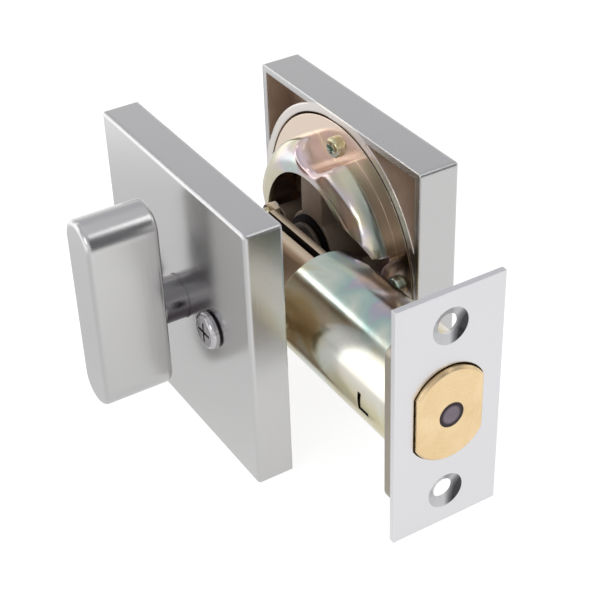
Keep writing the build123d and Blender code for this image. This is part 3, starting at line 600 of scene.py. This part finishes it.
# The guard's film tints carry painted reflections.
dress(passivated("guard_zinc", 50.0, (4.0, -68.0, 10.0), 0.72, rough=0.18, pale=0.38,
                 wash=tint(236, 234, 226), marks_and_painted_light=guard_tints_and_painted_light), "guard_plate")
dress(passivated("guard_screw_zinc", 160.0, (20.0, 20.0, 30.0), 0.6), "guard_screws")
dress(passivated("backing_zinc", 40.0, (5.0, 6.0, 8.0), -0.35, rough=0.33, pale=0.85,
                 wash=tint(140, 133, 121)), "backing_plate")
dress(face_chrome(), "faceplate")
dress(turned("bolt_brass", tint(222, 190, 140), tint(246, 222, 180), 0.27, "X", 260.0), "bolt")
dress(turned("pin_brass", tint(190, 158, 92), tint(222, 192, 124), 0.30, "Z", 500.0),
      "chamber_cover", "key_pins", "driver_pins")
# The bolt's pin gets painted shade round its rim.
dress(turned("bolt_pin_steel", tint(106, 97, 106), tint(144, 132, 140), 0.42, "X", 700.0, pin_painted_shade),
      "bolt_pin")
# Tailpiece, hub, rivet and clip are darkened near black as painted shade inside the lock.
dress(turned("steel_darkened_as_shade", tint(26, 23, 21), tint(44, 39, 36), 0.58, "Y", 420.0),
      "tailpiece", "drive_hub", "link_rivet", "plug_clip")
dress(turned("spring_steel", tint(112, 112, 118), tint(156, 156, 162), 0.32, "Y", 420.0),
      "turn_washer", "turn_clip", "detent_spring", "pin_springs")
# Mounting screws get painted shade under their heads.
SCREW_FINISH = turned("screw_nickel", tint(172, 170, 172), tint(206, 204, 206), 0.18, "Y", 500.0, screw_painted_shade)
dress(SCREW_FINISH, "mounting_screws")


def thread_tree():
    """Geometry Nodes for rolled threads: a ridge wound round each shank of a row of screws."""
    tree = bpy.data.node_groups.new("Screw threads", "GeometryNodeTree")
    for label, kind, value in (
            ("Shank radius", "NodeSocketFloat", 0.002), ("Ridge", "NodeSocketFloat", 0.0003),
            ("Pitch", "NodeSocketFloat", 0.0008), ("Start", "NodeSocketFloat", 0.0),
            ("Length", "NodeSocketFloat", 0.02), ("First screw", "NodeSocketVector", (0.0, 0.0, 0.0)),
            ("Screw spacing", "NodeSocketVector", (0.03, 0.0, 0.0)), ("Screws", "NodeSocketInt", 2)):
        socket = tree.interface.new_socket(label, in_out="INPUT", socket_type=kind)
        socket.default_value = value
    tree.interface.new_socket("Finish", in_out="INPUT", socket_type="NodeSocketMaterial")
    tree.interface.new_socket("Geometry", in_out="OUTPUT", socket_type="NodeSocketGeometry")
    start, end = add(tree, "NodeGroupInput").outputs, add(tree, "NodeGroupOutput").inputs
    turns = maths(tree, "DIVIDE", start["Length"], start["Pitch"])
    spiral = add(tree, "GeometryNodeCurveSpiral", {
        "Resolution": 20, "Rotations": turns, "Start Radius": start["Shank radius"],
        "End Radius": start["Shank radius"], "Height": start["Length"]})
    ridge = add(tree, "GeometryNodeCurvePrimitiveCircle", {"Resolution": 4, "Radius": start["Ridge"]})
    wound = add(tree, "GeometryNodeCurveToMesh", {
        "Curve": spiral.outputs["Curve"], "Profile Curve": ridge.outputs["Curve"], "Fill Caps": True})
    shift = add(tree, "ShaderNodeCombineXYZ", {"Y": start["Start"]})
    laid = add(tree, "GeometryNodeTransform", {
        "Geometry": wound.outputs["Mesh"], "Translation": shift.outputs["Vector"],
        "Rotation": (math.radians(-90), 0.0, 0.0)})
    row = add(tree, "GeometryNodeMeshLine", {
        "Count": start["Screws"], "Start Location": start["First screw"], "Offset": start["Screw spacing"]})
    placed = add(tree, "GeometryNodeInstanceOnPoints", {
        "Points": row.outputs["Mesh"], "Instance": laid.outputs["Geometry"]})
    real = add(tree, "GeometryNodeRealizeInstances", {"Geometry": placed.outputs["Instances"]})
    done = add(tree, "GeometryNodeSetMaterial", {
        "Geometry": real.outputs["Geometry"], "Material": start["Finish"]})
    tree.links.new(done.outputs["Geometry"], end["Geometry"])
    return tree


def grown(name, tree, values, body):
    """Runs a Geometry Nodes tree, keeps its result as a plain mesh and rides it on a body."""
    seed = bpy.data.objects.new(name + "_seed", bpy.data.meshes.new(name + "_seed"))
    bpy.context.scene.collection.objects.link(seed)
    modifier = seed.modifiers.new("Grown", "NODES")
    modifier.node_group = tree
    for item in tree.interface.items_tree:
        if item.in_out == "INPUT" and item.name in values:
            modifier[item.identifier] = values[item.name]
    depsgraph = bpy.context.evaluated_depsgraph_get()
    mesh = bpy.data.meshes.new_from_object(seed.evaluated_get(depsgraph))
    seed.modifiers.clear()
    bpy.data.objects.remove(seed)
    piece = bpy.data.objects.new(name, mesh)
    bpy.context.scene.collection.objects.link(piece)
    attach(piece, body)


first_screw, last_screw = SCREW_LOW.x + SCREW_HEAD_RADIUS, SCREW_HIGH.x - SCREW_HEAD_RADIUS
thread_start = ROOM_HIGH.y + THREAD_GAP
grown("screw_threads", thread_tree(), {
    "Shank radius": SCREW_SHANK_RADIUS, "Ridge": THREAD_RIDGE, "Pitch": THREAD_PITCH,
    "Start": thread_start, "Length": HOUSING_LOW.y + THREAD_HOLD - thread_start,
    "First screw": (first_screw, 0.0, 0.0), "Screw spacing": (last_screw - first_screw, 0.0, 0.0),
    "Screws": 2, "Finish": SCREW_FINISH,
}, "lock_body")


def light(name, way, far, size, radiance):
    """Soft square lamp aimed at the lock; a square's power follows from the radiance it shows."""
    lamp = bpy.data.lights.new(name, "AREA")
    lamp.size = size
    lamp.energy = radiance * math.pi * size ** 2
    made = bpy.data.objects.new(name, lamp)
    made.location = CENTRE + Vector(way).normalized() * far
    made.rotation_euler = (made.location - CENTRE).to_track_quat("Z", "Y").to_euler()
    bpy.context.scene.collection.objects.link(made)


def surroundings():
    """White to the camera; metal mirrors a white horizon, a grey dome and a dark flag."""
    world = bpy.data.worlds.new("studio")
    bpy.context.scene.world = world
    world.use_nodes = True
    tree = world.node_tree
    tree.nodes.clear()
    way = add(tree, "ShaderNodeTexCoord").outputs["Generated"]
    rise = apart(tree, way)[2]
    dome = ramp(tree, rise, [(0.0, HORIZON), (0.25, HORIZON), (0.55, DOME), (0.8, DOME), (1.0, ZENITH)])
    dome = mix(tree, soft_step(tree, vectors(tree, "DOT_PRODUCT", way, FLAG_WAY), *FLAG_EDGE), dome, FLAG)
    seen = add(tree, "ShaderNodeLightPath").outputs["Is Camera Ray"]
    plain = add(tree, "ShaderNodeBackground", {"Color": WHITE, "Strength": 1.0})
    lit = add(tree, "ShaderNodeBackground", {"Color": dome, "Strength": 1.0})
    both = add(tree, "ShaderNodeMixShader", {0: seen, 1: lit.outputs[0], 2: plain.outputs[0]})
    add(tree, "ShaderNodeOutputWorld", {"Surface": both.outputs[0]})


def floor_paint():
    """Pale floor that reads as white and still takes the lock's shadow."""
    made = bpy.data.materials.new("floor_white")
    made.use_nodes = True
    tree = made.node_tree
    tree.nodes.clear()
    paths = add(tree, "ShaderNodeLightPath").outputs
    place = place_on(tree)
    along = vectors(tree, "DOT_PRODUCT", place, FLOOR_WAY)
    past_face = vectors(tree, "DOT_PRODUCT", place, DIM_WAY)
    mirrored = maths(tree, "ADD", soft_step(tree, along, *FAR_STEP, FLOOR_NEAR, FLOOR_FAR),
                     soft_step(tree, along, *BRIGHT_STEP, 0.0, FLOOR_BRIGHT - FLOOR_NEAR))
    mirrored = times(tree, mirrored, soft_step(tree, past_face, *DIM_STEP, 1.0, FLOOR_DIM))
    mirrored = times(tree, paths["Is Glossy Ray"], mirrored)
    seen = times(tree, paths["Is Camera Ray"], FLOOR_SEEN)
    matt = add(tree, "ShaderNodeBsdfDiffuse", {"Color": FLOOR_MATT})
    glow = add(tree, "ShaderNodeEmission", {"Color": WHITE, "Strength": maths(tree, "ADD", mirrored, seen)})
    both = add(tree, "ShaderNodeAddShader", {0: matt.outputs[0], 1: glow.outputs[0]})
    add(tree, "ShaderNodeOutputMaterial", {"Surface": both.outputs[0]})
    return made


def floor():
    """Plain pale floor under the lock."""
    mesh = bpy.data.meshes.new("floor")
    level = CAD_BOX[0].z - FLOOR_DROP
    corners = [(x * FLOOR_REACH, y * FLOOR_REACH, level) for x, y in ((-1, -1), (1, -1), (1, 1), (-1, 1))]
    mesh.from_pydata(corners, [], [(0, 1, 2, 3)])
    mesh.materials.append(floor_paint())
    made = bpy.data.objects.new("floor", mesh)
    bpy.context.scene.collection.objects.link(made)


def camera():
    """Camera at the picture's angle, from its azimuth, elevation and roll."""
    a, e, r = (math.radians(x) for x in (AZIMUTH, ELEVATION, ROLL))
    back = Vector((math.sin(a) * math.cos(e), -math.cos(a) * math.cos(e), math.sin(e)))
    level = Vector((math.cos(a), math.sin(a), 0.0))
    upright = back.cross(level)
    right = level * math.cos(r) + upright * math.sin(r)
    up = upright * math.cos(r) - level * math.sin(r)
    data = bpy.data.cameras.new("camera")
    data.sensor_width = SENSOR
    data.lens = SENSOR * FOCAL_PIXELS / PICTURE
    data.clip_start = 0.01
    made = bpy.data.objects.new("camera", data)
    turn = Matrix((right, up, back)).transposed().to_4x4()
    made.matrix_world = Matrix.Translation(AIM + back * DISTANCE) @ turn
    bpy.context.scene.collection.objects.link(made)
    bpy.context.scene.camera = made


surroundings()
for lamp in LAMPS:
    light(*lamp)
floor()
camera()
bpy.context.scene.view_settings.view_transform = "Standard"
